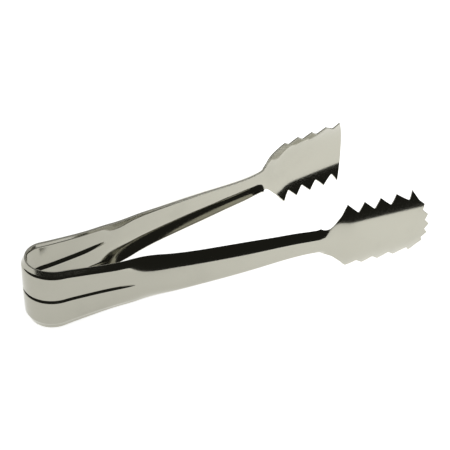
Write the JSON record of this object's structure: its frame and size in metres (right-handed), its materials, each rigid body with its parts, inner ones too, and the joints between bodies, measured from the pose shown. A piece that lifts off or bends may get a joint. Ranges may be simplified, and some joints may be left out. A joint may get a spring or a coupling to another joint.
{
  "type": "ice tongs",
  "caption": "One-piece pressed stainless steel ice tongs: a grooved spring bend, two channel-shaped arms and two scoop jaws with pointed side teeth.",
  "frame": {"origin": "under the middle of the tongs, at the height of the lowest jaw points", "axes": "+X from the spring bend to the jaws, +Y across the opening towards the far arm, +Z along the width of the strip; the tongs lie on their side"},
  "size_m": [0.1795, 0.0751, 0.0334],
  "materials": {
    "steel": "polished stainless steel"
  },
  "bodies": {
    "bow": {"bow_crown": "steel"},
    "near_arm": {"bow_leg_near": "steel", "arm_near": "steel", "claw_near": "steel"},
    "far_arm": {"bow_leg_far": "steel", "arm_far": "steel", "claw_far": "steel"}
  },
  "joints": [
    {"name": "near_arm_flex", "type": "hinge", "parent": "bow", "child": "near_arm", "pos_m": [-0.08446, -0.00806, 0.0167], "axis": [0, 0, 1], "range_deg": [-2, 10.4], "stiffness_Nm_per_rad": 2},
    {"name": "far_arm_flex", "type": "hinge", "parent": "bow", "child": "far_arm", "pos_m": [-0.08446, 0.00806, 0.0167], "axis": [0, 0, 1], "range_deg": [-10.4, 2], "stiffness_Nm_per_rad": 2}
  ],
  "couplings": [
    {"joint": "far_arm_flex", "follows": "near_arm_flex", "ratio": -1}
  ]
}
